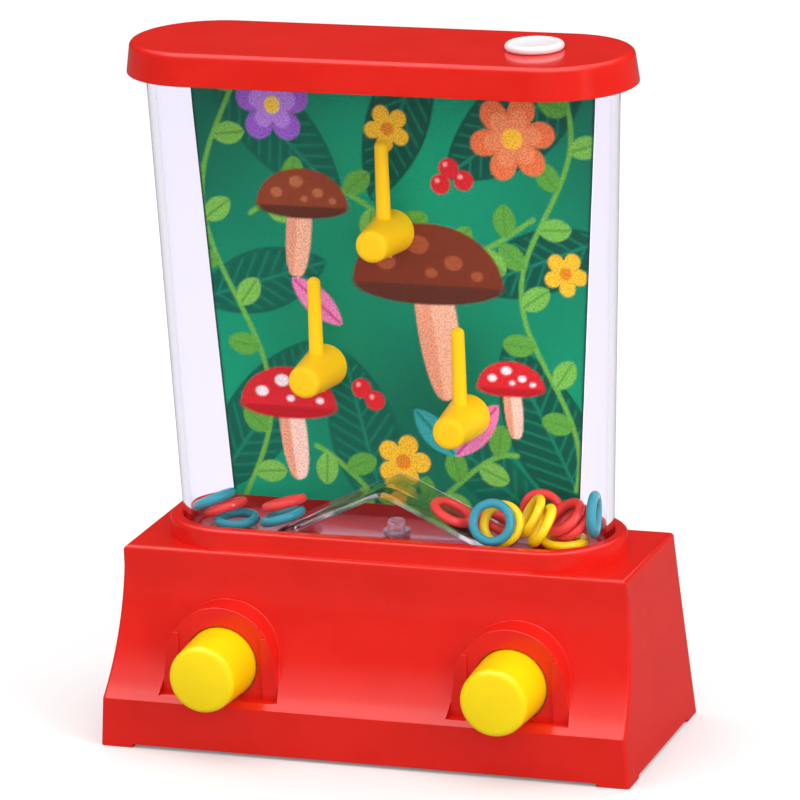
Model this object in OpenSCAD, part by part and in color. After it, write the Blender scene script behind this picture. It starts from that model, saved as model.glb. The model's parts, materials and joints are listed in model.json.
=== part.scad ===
// Handheld water game: a clear tank of coloured rings on a red base with two pump buttons.
// Millimetres, Z up. The origin is on the resting surface, in the middle of the footprint.

/* [Base] */
// Width of the base at its foot
base_w = 120; // [112:1:130]
// Depth of the base at its foot
base_d = 51.2; // [49:0.4:56]
// Height of the deck above the resting surface
base_h = 42.4; // [40:0.4:46]
// How far each end leans in between the foot and the deck
end_lean = 3.15; // [1:0.05:4]
// How far the front of the deck stands behind the lip
front_step = 11; // [10:0.25:12]
// How far the back of the deck stands inside the foot
back_lean = 4.6; // [2:0.2:6]
// Height of the upright lip along the front
lip_h = 10.9; // [9.5:0.1:11.5]
// Radius of the hollow sweep above the lip
cove_r = 37.6; // [35:0.2:40]
// Wall thickness of the base
wall = 2; // [1.6:0.1:2.4]
// Radius of the upper edges
edge_r = 1; // [0.6:0.1:1.4]
// Height of the four moulded feet
foot_h = 0.7; // [0.5:0.1:1.2]
// Length of each foot along the front
foot_l = 7.5; // [5:0.5:10]

/* [Button pads] */
// Distance of each button from the middle of the base
btn_x = 32.8; // [30:0.2:34]
// Height of the button axis
btn_z = 19.5; // [18.5:0.25:21]
// How far the pads stand behind the lip
pad_set = 4.2; // [3.6:0.1:4.8]
// Radius of the arch over each button
arch_pad_r = 12.5; // [12:0.1:13]
// Half width of each pad at its ledge
pad_foot = 13.7; // [13.2:0.1:14.5]
// Height of the ledge under each button
ledge_z = 12; // [11.6:0.1:13]
// Half width of the flat between the two raised strips of a pad
strip_x = 9.5; // [9.3:0.1:10.5]
// Height of the top of the raised strips
strip_top = 25.9; // [24:0.1:27]
// Thickness of the raised strips
strip_t = 0.6; // [0.3:0.1:0.9]

/* [Buttons] */
// Radius of a button where it leaves its pad
btn_r = 8; // [7.6:0.1:8.3]
// How much smaller the radius is at the face
btn_taper = 0.55; // [0.2:0.05:0.9]
// How far a button stands out of its pad
btn_reach = 13; // [10:0.5:15]
// How far a button travels when it is pressed
btn_travel = 6; // [4:0.5:7]
// Wall thickness of a button
btn_wall = 1.5; // [1.2:0.1:1.8]
// Clearance between a button and its guide hole
guide_gap = 0.25; // [0.15:0.05:0.35]
// How far the retaining flange stands out of the button
btn_flange = 1.3; // [1:0.1:1.6]

/* [Tank] */
// Width of the tank at its foot
tank_w = 96.8; // [92:0.4:99]
// Depth of the tank at its foot
tank_d = 26.6; // [25.4:0.2:28]
// Width of the tank at its rim
tank_rim_w = 105.2; // [100:0.4:108]
// Height of the tank
tank_h = 107.6; // [102:0.4:116]
// Wall thickness of the tank
tank_wall = 1.6; // [1.3:0.1:1.9]
// Distance of the tank's middle behind the base's middle
tank_y = 3; // [2:0.25:4]
// Height of the collar around the tank's foot
collar_h = 4.4; // [3.5:0.1:5.5]
// Thickness of the collar
collar_t = 2.8; // [2.2:0.1:3.2]
// Clearance between a piece and the seat that holds it
seat_gap = 0.1; // [0.05:0.05:0.2]

/* [Cap] */
// Height of the cap
cap_h = 7; // [6.5:0.1:8]
// How far the cap overhangs the tank
cap_over = 3.9; // [3.4:0.1:4.5]
// Thickness of the cap's top
cap_t = 2.1; // [1.6:0.1:2.6]
// Draft of the cap's sides
cap_lean = 0.75; // [0.3:0.05:1.2]
// Radius of the cap's upper edge
cap_round = 1.4; // [1:0.1:1.8]
// Distance of the fill hole from the middle
plug_x = 34.4; // [30:0.2:36]
// Radius of the plug's disc
plug_r = 6.3; // [5.8:0.1:7]
// Thickness of the plug's disc
plug_t = 1.7; // [1.3:0.1:2.2]
// Radius of the plug's stem
stem_r = 4; // [3.4:0.1:4.4]
// Wall of the plug's hollow stem
stem_wall = 0.9; // [0.8:0.1:1.2]
// Running clearance of round pieces that slide
slide_gap = 0.06; // [0.03:0.01:0.09]

/* [Backdrop and pegs] */
// Distance of the backdrop behind the tank's middle
card_y = 6.35; // [6:0.05:7]
// Thickness of the backdrop
card_t = 1; // [0.8:0.1:1.3]
// Width of the backdrop at its lower edge
card_w = 79.2; // [74:0.4:82]
// Width of the backdrop at its upper edge
card_top_w = 92.6; // [86:0.4:95]
// Gap between the tank's floor and the backdrop
card_lift = 4.2; // [3.6:0.1:5]
// Height of the top peg's axis above the tank's floor
peg_top_z = 65.9; // [62:0.1:70]
// Height of the left peg's axis above the tank's floor
peg_left_z = 35; // [33:0.1:38]
// Height of the right peg's axis above the tank's floor
peg_right_z = 25.6; // [25:0.1:29]
// Place of the top peg across the tank
peg_top_x = -0.4; // [-2:0.1:2]
// Place of the left peg across the tank
peg_left_x = -16.9; // [-19:0.1:-15]
// Place of the right peg across the tank
peg_right_x = 15.4; // [14:0.1:18]
// Radius of a peg's boss at the backdrop
peg_r = 4.9; // [4.4:0.1:5.2]
// Radius of a peg's boss at its front
peg_nose_r = 3.6; // [3.3:0.1:4.2]
// How far a peg stands out of the backdrop
peg_l = 15; // [13.5:0.25:15.5]
// Height of a pin's tip above its boss's axis
pin_h = 21.2; // [18:0.2:23]
// Radius of a pin at its foot
pin_r = 1.62; // [1.4:0.02:1.9]
// Radius of a pin at its tip
pin_tip_r = 1.45; // [1.3:0.05:1.6]

/* [Deflector and jet] */
// Room on the floor between the deflector and each end of the tank
pile_room = 20.8; // [20:0.1:23]
// Slope of the deflector's two flanks
arch_slope = 25; // [22:0.5:28]
// Radius of the deflector's crest
crest_r = 5; // [3:0.5:8]
// Thickness of the deflector
arch_t = 1.2; // [1:0.1:1.6]
// Distance of the deflector's front edge before the tank's middle
arch_front = 9.5; // [8:0.1:10]
// Radius of the jet nozzle
jet_r = 1.95; // [1.8:0.05:2.3]
// Height of the jet nozzle above the tank's floor
jet_h = 3; // [2.4:0.1:3.6]
// Radius of the nozzle's stem
jet_stem_r = 1.6; // [1.4:0.1:1.7]

/* [Pumps] */
// Inner radius of a pump chamber
pump_r = 8; // [7.5:0.1:8.4]
// Wall thickness of a pump chamber
pump_wall = 1.5; // [1.2:0.1:1.8]
// Length of a pump chamber
pump_l = 20; // [18:0.5:22]
// Outer radius of the bellows
bellows_r = 7.6; // [7:0.1:7.8]
// Depth of the bellows' folds
fold_d = 1.9; // [1.5:0.1:2.2]
// Number of the bellows' folds
folds = 3; // [2:1:4]
// Length of the bellows at rest
bellows_l = 11; // [10:0.5:12]
// Thickness of the rubber
rubber_t = 0.8; // [0.6:0.1:1]
// Thickness of the clamped flanges
flange_t = 1.5; // [1.2:0.1:1.8]
// Radius of the spring's coil, to the middle of the wire
coil_r = 4; // [3.6:0.1:4.4]
// Thickness of the spring's wire
wire_d = 0.8; // [0.6:0.1:1]
// Number of turns of the spring
turns = 9; // [7:1:11]
// Inner radius of the water duct
duct_r = 2.2; // [2:0.1:2.6]
// Wall thickness of the water duct
duct_wall = 1.2; // [1:0.1:1.5]

/* [Bottom cover and screws] */
// Thickness of the bottom cover
plate_t = 2; // [1.6:0.1:2.4]
// Clearance around the bottom cover
plate_gap = 0.15; // [0.1:0.05:0.3]
// Distance of the screws from the middle of the base
screw_x = 50; // [48:0.25:50.5]
// Distance of the front screws before the base's middle
screw_front = 8; // [6:0.5:9]
// Distance of the rear screws behind the base's middle
screw_back = 15; // [13:0.5:15.5]
// Radius of the screw shanks
shank_r = 1.15; // [1:0.05:1.3]
// Length of the screw shanks below their heads
shank_l = 9; // [7:0.5:12]
// Radius of the screw heads
head_r = 2.7; // [2.4:0.1:3]
// Thickness of the screw heads
head_t = 1.1; // [0.9:0.1:1.3]

/* [Rings] */
// Outer diameter of a ring
ring_d = 10.2; // [9.6:0.1:10.2]
// Thickness of a ring
ring_t = 2; // [1.6:0.1:2]

/* [Hidden] */
// Where each ring lies: its name, the side, how far its middle is from the end of the floor and behind
// the tank's middle, its height above what is under it, its lean, and the compass direction of its top
ring_rest = [
  ["ring_teal_1", -1, 5.2, -1.4, 5.2, 23, 165],
  ["ring_teal_2", -1, 10.8, -2.5, 1.4, 2, -130],
  ["ring_teal_3", -1, 21.9, -3.6, 2.5, 17, 170],
  ["ring_teal_4", 1, 22.1, -8.8, 6, 69, -84],
  ["ring_teal_5", 1, 2.1, 0, 7.1, 89, -175],
  ["ring_yellow_1", 1, 20.8, -6.1, 5.5, 64, -98],
  ["ring_yellow_2", 1, 15.6, -1.8, 6.3, 59, -156],
  ["ring_yellow_3", 1, 12.2, -4.8, 5.4, 59, -158],
  ["ring_yellow_4", 1, 8.4, -1.3, 1.2, 0, 0],
  ["ring_red_1", -1, 7.5, -0.9, 3.4, 20, 160],
  ["ring_red_2", -1, 21.1, -0.2, 4.8, 18, 155],
  ["ring_red_3", 1, 32.4, -4.6, 1.5, 27, 0],
  ["ring_red_4", 1, 23.7, 0.8, 2.2, 29, 8],
  ["ring_red_5", 1, 15.1, 4.7, 5.4, 88, 90],
  ["ring_red_6", 1, 8.4, -0.9, 6.3, 39, -140],
  ["ring_red_7", 1, 6.8, 0.1, 4.8, 37, -143]
];

// Frame: the buttons stand out in front, so the whole is shifted back by half of that.
lip_y = -base_d / 2;
pad_y = lip_y + pad_set;
face_y = pad_y - btn_reach;
frame_y = -(face_y + base_d / 2) / 2;

// Sweep of the front: upright at its top, and through the lip's upper edge.
cove_y = lip_y + front_step - cove_r;
cove_z = lip_h + sqrt(pow(cove_r, 2) - pow(cove_r - front_step, 2));
pad_root = pad_set + 6;

// Tank: a stadium that widens towards its rim.
flare = tank_rim_w / tank_w;
tank_run = (tank_w - tank_d) / 2;
tank_rim_run = tank_run * flare;
tank_rim_r = tank_d / 2 * flare;
floor_z = base_h + tank_wall;
rim_z = base_h + tank_h;
collar_flare = 1 + (flare - 1) * collar_h / tank_h;
collar_run = tank_run * collar_flare;
collar_in = tank_d / 2 * collar_flare + seat_gap;

// Cap: seated on the tank's rim.
cap_z = rim_z + cap_t - cap_h;
cap_r = tank_rim_r + cap_over;
boss_l = 2.5;
boss_t = 1.7;

// Backdrop and pegs.
card_front = tank_y + card_y - card_t / 2;
card_foot_z = floor_z + card_lift;
card_top_z = rim_z - 0.4;
spigot_r = 2;
stake_r = 3;
stake_t = 0.8;
nose_round = 1.3;
back_round = 0.6;
nub_r = 0.5;
clip_x = 25;
clip_l = 10;
clip_t = 1.5;
clip_h = 3;

// Deflector.
arch_half = tank_w / 2 - tank_wall - pile_room;
arch_back_gap = 0.3;

// Pumps, behind the buttons.
guide_r = btn_r + guide_gap;
flange_y = pad_y + wall + 0.05;
btn_flange_t = 1.2;
post_r = 3;
bellows_y = flange_y + btn_flange_t + 0.65;
clamp_y = bellows_y + bellows_l;
pump_y = clamp_y + rubber_t;
pump_end = pump_y + pump_l;
pump_or = pump_r + pump_wall;
flange_r = pump_or + 1.5;
spigot_l = 4;
duct_or = duct_r + duct_wall;
duct_end = btn_x - pump_or - 0.2;
socket_or = duct_or + duct_wall + seat_gap;
septum_t = 0.8;
jet_z = btn_z;

// Bottom cover and screws.
plate_z = foot_h + 0.2;
plate_top = plate_z + plate_t;
post_or = 3;
screw_at = [
  [-screw_x, -screw_front], [screw_x, -screw_front], [-screw_x, screw_back], [screw_x, screw_back]
];
saddle_t = 2;

red = "#e02b24";
yellow = "#fddc0a";
teal = "#2e9aa0";
clear = [0.93, 0.94, 0.98, 0.35];
grey = "#c8ccd0";

// Half width of the base's outside at height z
function end_x(z) = base_w / 2 - end_lean * z / base_h;
// Back of the base's outside at height z
function back_y(z) = base_d / 2 - back_lean * z / base_h;

module placed() {
  translate([0, frame_y, 0])
    children();
}

// An outline drawn in Y and Z, run along X
module along_x(w) {
  rotate([90, 0, 90])
    linear_extrude(w, center = true)
      children();
}

// An outline drawn in X and Z, run along Y from y0 to y1
module along_y(y0, y1) {
  translate([0, y1, 0])
    rotate([90, 0, 0])
      linear_extrude(y1 - y0)
        children();
}

// A round profile, drawn as radius and distance, turned about the Y direction
module about_y($fn = 72) {
  rotate([-90, 0, 0])
    rotate_extrude()
      children();
}

// A profile, drawn as radius and height, carried round a stadium
module racetrack(run) {
  for (s = [-1, 1])
    translate([s * run, 0, 0])
      rotate_extrude($fn = 128)
        children();
  along_x(2 * run) {
    children();
    mirror([1, 0])
      children();
  }
}

module stadium(run, r) {
  for (s = [-1, 1])
    translate([s * run, 0])
      circle(r, $fn = 64);
  square([2 * run, 2 * r], center = true);
}

// Base: a block with leaning ends and back
module base_block(inset, z0, z1) {
  intersection() {
    along_x(base_w)
      polygon([
        [lip_y + inset, z0], [back_y(z0) - inset, z0],
        [back_y(z1) - inset, z1], [lip_y + inset, z1]
      ]);
    along_y(-base_d, base_d)
      polygon([
        [-end_x(z0) + inset, z0], [end_x(z0) - inset, z0],
        [end_x(z1) - inset, z1], [-end_x(z1) + inset, z1]
      ]);
  }
}

// What a fillet takes off an upper edge at the origin; the body lies towards +X, under a face that leans by the angle
module fillet_waste(lean) {
  x = edge_r * (1 - sin(lean)) / cos(lean);
  polygon(concat(
    [[x, 1], [-2, 1], [-2, edge_r * (sin(lean) - 1)]],
    arc(x, -edge_r, edge_r, 180 - lean, 90, 8)
  ));
}

// Fillets on the upper edges of the base: front, back and both ends
module upper_fillets() {
  along_x(2 * base_w) {
    translate([lip_y + front_step, base_h])
      fillet_waste(0);
    translate([back_y(base_h), base_h])
      mirror([1, 0])
        fillet_waste(atan(back_lean / base_h));
  }
  for (m = [0, 1])
    mirror([m, 0, 0])
      along_y(-base_d, base_d)
        translate([-end_x(base_h), base_h])
          fillet_waste(atan(end_lean / base_h));
}

module cove(grow) {
  translate([0, cove_y, cove_z]) {
    rotate([0, 90, 0])
      cylinder(r = cove_r + grow, h = 2 * base_w, center = true, $fn = 180);
    translate([-base_w, 0, 0])
      cube([2 * base_w, cove_r + grow, base_h]);
  }
}

// Tombstone outline of a button pad, standing on the ledge at z0
module pad_outline(grow, z0) {
  intersection() {
    translate([0, btn_z])
      circle(arch_pad_r + grow, $fn = 96);
    translate([-2 * pad_foot, z0])
      square(4 * pad_foot);
  }
  polygon([
    [-arch_pad_r - grow, btn_z], [-pad_foot - grow, z0], [pad_foot + grow, z0],
    [arch_pad_r + grow, btn_z]
  ]);
}

module both_sides() {
  for (s = [-1, 1])
    translate([s * btn_x, 0, 0])
      children();
}

module collar() {
  r = collar_in + collar_t;
  e = 1;
  translate([0, tank_y, base_h])
    difference() {
      racetrack(collar_run) {
        translate([0, -0.5])
          square([r, collar_h + 0.5 - e]);
        square([r - e, collar_h]);
        translate([r - e, collar_h - e])
          circle(e, $fn = 32);
      }
      translate([0, 0, -1])
        linear_extrude(collar_h + 2)
          stadium(collar_run, collar_in);
    }
}

module feet() {
  intersection() {
    base_block(0, 0, foot_h);
    for (sx = [-1, 1], sy = [-1, 1])
      translate([sx * (base_w - foot_l) / 2, sy * (base_d - foot_l) / 2, 0])
        cube([foot_l, foot_l, 3 * foot_h], center = true);
  }
}

module base_shell() {
  color(red)
    placed() {
      difference() {
        union() {
          difference() {
            base_block(0, foot_h, base_h);
            cove(0);
            upper_fillets();
          }
          both_sides()
            along_y(pad_y, pad_y + pad_root)
              pad_outline(0, ledge_z);
          collar();
        }
        both_sides()
          along_y(lip_y - 1, pad_y)
            pad_outline(0, ledge_z);
        base_cavity();
        both_sides()
          translate([0, pad_y, btn_z])
            rotate([90, 0, 0])
              cylinder(r = guide_r, h = 6 * wall, center = true, $fn = 96);
        translate([0, tank_y, base_h])
          cylinder(r = jet_stem_r + seat_gap, h = 4 * wall, center = true, $fn = 48);
        for (p = screw_at)
          translate([p[0], p[1], plate_top - 1])
            cylinder(r = shank_r + slide_gap, h = shank_l + 2, $fn = 32);
      }
      both_sides()
        intersection() {
          along_y(pad_y - strip_t, pad_y + wall / 2)
            pad_outline(0, ledge_z);
          for (s = [-1, 1])
            translate([s * (strip_x + pad_foot), pad_y, 0])
              cube([2 * pad_foot, 6 * wall, 2 * strip_top], center = true);
        }
      feet();
    }
}

// The hollow of the base, with the walls of the pads and the screw posts left standing
module base_cavity() {
  difference() {
    union() {
      difference() {
        base_block(wall, foot_h - 1, base_h - wall);
        cove(wall);
      }
      both_sides()
        along_y(pad_y + wall, pad_y + pad_root + wall)
          pad_outline(-wall, ledge_z);
    }
    both_sides()
      along_y(lip_y, pad_y + wall)
        pad_outline(wall, ledge_z - wall);
    for (p = screw_at)
      translate([p[0], p[1], plate_top])
        cylinder(r = post_or, h = base_h, $fn = 48);
  }
}

module base_plate() {
  gap = wall + plate_gap;
  color(red)
    placed() {
      difference() {
        base_block(gap, plate_z, plate_top);
        for (p = screw_at)
          translate([p[0], p[1], plate_z - 1]) {
            cylinder(r = shank_r + 0.4, h = plate_t + 2, $fn = 32);
            cylinder(r = head_r + 0.3, h = head_t + 1, $fn = 48);
          }
      }
      both_sides()
        for (y = [pump_y + 3, pump_end - 5])
          difference() {
            translate([-pump_or, y, plate_top - 0.5])
              cube([2 * pump_or, saddle_t, btn_z - plate_top - 3]);
            translate([0, y - 1, btn_z])
              rotate([-90, 0, 0])
                cylinder(r = pump_or + seat_gap, h = saddle_t + 2, $fn = 72);
          }
      both_sides()
        translate([-pump_r, pump_end + seat_gap, plate_top - 0.5])
          cube([2 * pump_r, saddle_t, btn_z - plate_top + 2]);
    }
}

module base_screws() {
  slot_w = 0.6;
  color(grey)
    placed()
      for (p = screw_at)
        translate([p[0], p[1], plate_z]) {
          difference() {
            cylinder(r = head_r, h = head_t - seat_gap, $fn = 48);
            for (a = [0, 90])
              rotate([0, 0, a])
                cube([1.4 * head_r, slot_w, head_t], center = true);
          }
          cylinder(r = shank_r, h = shank_l, $fn = 32);
        }
}

module tank() {
  color(clear)
    placed()
      translate([0, tank_y, base_h])
        difference() {
          linear_extrude(tank_h, scale = flare)
            stadium(tank_run, tank_d / 2);
          translate([0, 0, tank_wall])
            linear_extrude(tank_h, scale = flare)
              stadium(tank_run, tank_d / 2 - tank_wall);
          cylinder(r = jet_stem_r + seat_gap, h = 4 * tank_wall, center = true, $fn = 48);
        }
}

module cap() {
  top_r = cap_r - cap_lean;
  color(red)
    placed() {
      difference() {
        translate([0, tank_y, cap_z])
          racetrack(tank_rim_run) {
            polygon([
              [0, 0], [cap_r, 0], [top_r, cap_h - cap_round], [top_r - cap_round, cap_h - cap_round],
              [top_r - cap_round, cap_h], [0, cap_h]
            ]);
            translate([top_r - cap_round, cap_h - cap_round])
              circle(cap_round, $fn = 48);
          }
        translate([0, tank_y, cap_z - 1])
          linear_extrude(cap_h - cap_t + 1)
            stadium(tank_rim_run, tank_rim_r + seat_gap);
        translate([plug_x, tank_y, rim_z - 1])
          cylinder(r = stem_r + slide_gap, h = cap_t + 2, $fn = 96);
      }
      translate([plug_x, tank_y, rim_z - boss_l])
        difference() {
          cylinder(r = stem_r + boss_t, h = boss_l + 0.5, $fn = 96);
          translate([0, 0, -1])
            cylinder(r = stem_r + slide_gap, h = boss_l + 3, $fn = 96);
        }
      for (s = [-1, 1], d = [-1, 1])
        translate([s * clip_x - clip_l / 2, tank_y + card_y, rim_z - clip_h])
          translate([0, d * (card_t / 2 + seat_gap + clip_t / 2) - clip_t / 2, 0])
            cube([clip_l, clip_t, clip_h + 0.5]);
    }
}

module fill_plug() {
  e = plug_t / 2 - 0.15;
  color("white")
    placed()
      translate([plug_x, tank_y, rim_z + cap_t]) {
        rotate_extrude($fn = 96) {
          square([plug_r - e, plug_t]);
          translate([plug_r - e, e])
            circle(e, $fn = 32);
          translate([plug_r - e, plug_t - e])
            circle(e, $fn = 32);
          translate([0, e])
            square([plug_r, plug_t - 2 * e]);
        }
        translate([0, 0, -cap_t - boss_l])
          difference() {
            cylinder(r = stem_r, h = cap_t + boss_l + 0.5, $fn = 96);
            translate([0, 0, -1])
              cylinder(r = stem_r - stem_wall, h = cap_t + boss_l + 1, $fn = 96);
          }
      }
}

module backdrop() {
  color("#1f7a55")
    placed()
      difference() {
        along_y(card_front, card_front + card_t)
          polygon([
            [-card_w / 2, card_foot_z], [card_w / 2, card_foot_z],
            [card_top_w / 2, card_top_z], [-card_top_w / 2, card_top_z]
          ]);
        for (p = [[peg_top_x, peg_top_z], [peg_left_x, peg_left_z], [peg_right_x, peg_right_z]])
          translate([p[0], card_front, floor_z + p[1]])
            rotate([90, 0, 0])
              cylinder(r = spigot_r + seat_gap, h = 6 * card_t, center = true, $fn = 48);
      }
}

// Points of a quarter turn about (cx, cy) from angle a0 to a1
function arc(cx, cy, r, a0, a1, n) =
  [for (k = [0:n]) [cx + r * cos(a0 + (a1 - a0) * k / n), cy + r * sin(a0 + (a1 - a0) * k / n)]];

// Peg: a tapered boss with a rounded nose, and an upright pin over the tank's middle
module peg(x, z) {
  pin_y = peg_l - (card_front - tank_y);
  color(yellow)
    placed()
      translate([x, card_front, floor_z + z]) {
        translate([0, -peg_l, 0])
          about_y()
            polygon(concat(
              [[0, 0]],
              arc(peg_nose_r - nose_round, nose_round, nose_round, -90, -5, 6),
              arc(peg_r - back_round, peg_l - back_round, back_round, -5, 90, 5),
              [[0, peg_l]]
            ));
        rotate([-90, 0, 0])
          translate([0, 0, -0.5])
            cylinder(r = spigot_r, h = card_t + seat_gap + 1, $fn = 48);
        translate([0, card_t + seat_gap, 0])
          rotate([-90, 0, 0])
            cylinder(r1 = stake_r, r2 = spigot_r, h = stake_t, $fn = 48);
        translate([0, pin_y - peg_l, 0]) {
          cylinder(r1 = pin_r, r2 = pin_tip_r, h = pin_h - pin_tip_r, $fn = 64);
          translate([0, 0, pin_h - pin_tip_r])
            sphere(r = pin_tip_r, $fn = 64);
        }
        translate([0, -3, -peg_r - nub_r / 2])
          cylinder(r = nub_r, h = 1.5, $fn = 32);
      }
}

module peg_top() {
  peg(peg_top_x, peg_top_z);
}

module peg_left() {
  peg(peg_left_x, peg_left_z);
}

module peg_right() {
  peg(peg_right_x, peg_right_z);
}

// Gable outline with a rounded crest
module gable(half, r) {
  crest_z = half * tan(arch_slope) - r / cos(arch_slope);
  polygon(concat([[half, 0]], arc(0, crest_z, r, 90 - arch_slope, 90 + arch_slope, 12), [[-half, 0]]));
}

module deflector() {
  color(clear)
    placed()
      translate([0, 0, floor_z])
        along_y(tank_y - arch_front, card_front - arch_back_gap)
          difference() {
            gable(arch_half, crest_r);
            gable(arch_half - arch_t / sin(arch_slope), crest_r - arch_t);
          }
}

module jet_nozzle() {
  port_r = 0.6;
  flange = 1;
  foot_t = 0.8;
  color(clear)
    placed()
      translate([0, tank_y, floor_z])
        difference() {
          union() {
            cylinder(r = jet_r + flange, h = foot_t, $fn = 48);
            cylinder(r = jet_r, h = jet_h - 0.4, $fn = 48);
            cylinder(r = jet_r - 0.4, h = jet_h, $fn = 48);
            translate([0, 0, -tank_wall - wall - spigot_l])
              cylinder(r = jet_stem_r, h = tank_wall + wall + spigot_l + 0.5, $fn = 48);
          }
          for (s = [-1, 1]) {
            translate([s * (jet_stem_r / 2 + 0.1), 0, -tank_wall - wall - spigot_l - 1])
              cylinder(r = 0.45, h = tank_wall + wall + spigot_l + jet_h - 0.1, $fn = 24);
            translate([s * (jet_stem_r / 2 + 0.1), 0, jet_h - 1.2])
              rotate([0, 90 * s, 0])
                cylinder(r = port_r, h = jet_r + 1, $fn = 24);
          }
        }
}

// Duct: two side branches from the pumps that join under the nozzle
module water_duct() {
  top_z = base_h - wall;
  color("#e8eaec")
    placed()
      translate([0, tank_y, 0])
        difference() {
          union() {
            translate([0, 0, jet_z])
              rotate([0, 90, 0])
                cylinder(r = duct_or, h = 2 * (duct_end - spigot_l), center = true, $fn = 48);
            for (s = [-1, 1])
              translate([s * (duct_end - spigot_l / 2 - 0.5), 0, jet_z])
                rotate([0, 90, 0])
                  cylinder(r = socket_or, h = spigot_l + 1, center = true, $fn = 48);
            translate([0, 0, jet_z])
              cylinder(r = duct_or, h = top_z - jet_z - seat_gap, $fn = 48);
          }
          difference() {
            union() {
              translate([0, 0, jet_z])
                rotate([0, 90, 0])
                  cylinder(r = duct_r, h = 3 * duct_end, center = true, $fn = 48);
              translate([0, 0, jet_z])
                cylinder(r = duct_r, h = base_h, $fn = 48);
            }
            translate([-septum_t / 2, -duct_or, jet_z - duct_or])
              cube([septum_t, 2 * duct_or, top_z - spigot_l - 1 - jet_z + duct_or]);
          }
          for (s = [-1, 1])
            translate([s * (duct_end - spigot_l / 2 + 0.5), 0, jet_z])
              rotate([0, 90, 0])
                cylinder(r = duct_or + seat_gap, h = spigot_l + 1, center = true, $fn = 48);
        }
}

// Pump chamber with its side spigot towards the middle; s is the side it stands on
module pump(s) {
  color("#e8eaec")
    placed()
      translate([s * btn_x, 0, 0]) {
        difference() {
          union() {
            translate([0, pump_y, btn_z])
              rotate([-90, 0, 0])
                cylinder(r = pump_or, h = pump_l, $fn = 72);
            translate([0, pump_y, btn_z])
              rotate([-90, 0, 0])
                cylinder(r = flange_r, h = flange_t, $fn = 72);
            translate([-s * (pump_r + 0.5), tank_y, btn_z])
              rotate([0, -90 * s, 0])
                cylinder(r = duct_or, h = pump_wall + spigot_l - 0.5, $fn = 48);
          }
          translate([0, pump_y - 1, btn_z])
            rotate([-90, 0, 0])
              cylinder(r = pump_r, h = pump_l + 1 - pump_wall, $fn = 72);
          translate([-s * (pump_r - 2), tank_y, btn_z])
            rotate([0, -90 * s, 0])
              cylinder(r = duct_r, h = pump_wall + spigot_l + 4, $fn = 48);
        }
        translate([0, pump_end - pump_wall - 2, btn_z])
          rotate([-90, 0, 0])
            cylinder(r = coil_r - wire_d / 2 - 0.4, h = 2.5, $fn = 48);
      }
}

module pump_left() {
  pump(-1);
}

module pump_right() {
  pump(1);
}

// Bellows: a rubber cup with folded sides, clamped by its flange
module bellows(s) {
  step = (bellows_l - rubber_t) / (2 * folds);
  outer = [for (k = [0:2 * folds]) [k % 2 == 0 ? bellows_r - fold_d : bellows_r, rubber_t + k * step]];
  inner = [for (k = [2 * folds:-1:0]) [outer[k][0] - rubber_t * 1.2, outer[k][1]]];
  color("#3a3d40")
    placed()
      translate([s * btn_x, bellows_y, btn_z])
        about_y() {
          polygon(concat([[0, 0], [bellows_r - fold_d, 0]], outer, inner, [[0, rubber_t]]));
          translate([bellows_r - fold_d - rubber_t * 1.2, bellows_l])
            square([flange_r - bellows_r + fold_d + rubber_t * 1.2, rubber_t]);
        }
}

module bellows_left() {
  bellows(-1);
}

module bellows_right() {
  bellows(1);
}

module clamp_ring(s) {
  color("#e8eaec")
    placed()
      translate([s * btn_x, clamp_y - flange_t, btn_z])
        about_y()
          translate([bellows_r + 0.7, 0])
            square([flange_r - bellows_r - 0.7, flange_t]);
}

module clamp_ring_left() {
  clamp_ring(-1);
}

module clamp_ring_right() {
  clamp_ring(1);
}

// Spring: one unbroken helix of round wire
coil_y = bellows_y + rubber_t + 0.1 + wire_d / 2;
coil_l = pump_end - pump_wall - 0.1 - wire_d / 2 - coil_y;
coil_sides = 6;
coil_rings = 8;
coil_n = turns * coil_rings;
function coil_point(k) =
  let (a = 360 * k / coil_rings)
    [coil_r * cos(a), coil_r * sin(a), coil_l * k / coil_n];
function wire_ring(k) =
  let (
    a = 360 * k / coil_rings,
    rise = atan2(coil_l / coil_n, 2 * coil_r * sin(180 / coil_rings)),
    out = [cos(a), sin(a), 0],
    up = [sin(a) * sin(rise), -cos(a) * sin(rise), cos(rise)]
  )
    [for (j = [0:coil_sides - 1])
      let (b = 360 * j / coil_sides)
        coil_point(k) + wire_d / 2 * (cos(b) * out + sin(b) * up)];
coil_pts = [for (k = [0:coil_n]) each wire_ring(k)];
coil_faces = concat(
  [for (j = [1:coil_sides - 2]) [0, j, j + 1]],
  [for (k = [0:coil_n - 1], j = [0:coil_sides - 1])
    let (p = k * coil_sides + j, q = k * coil_sides + (j + 1) % coil_sides)
      each [[p, p + coil_sides, q + coil_sides], [p, q + coil_sides, q]]],
  [for (j = [1:coil_sides - 2])
    let (e = coil_n * coil_sides)
      [e, e + j + 1, e + j]]
);
coil_gap = coil_l / turns - wire_d;
echo(spring_gap = coil_gap);

module spring(s) {
  color(grey)
    placed()
      translate([s * btn_x, coil_y, btn_z])
        rotate([-90, 0, 0])
          polyhedron(coil_pts, coil_faces);
}

module spring_left() {
  spring(-1);
}

module spring_right() {
  spring(1);
}

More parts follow.
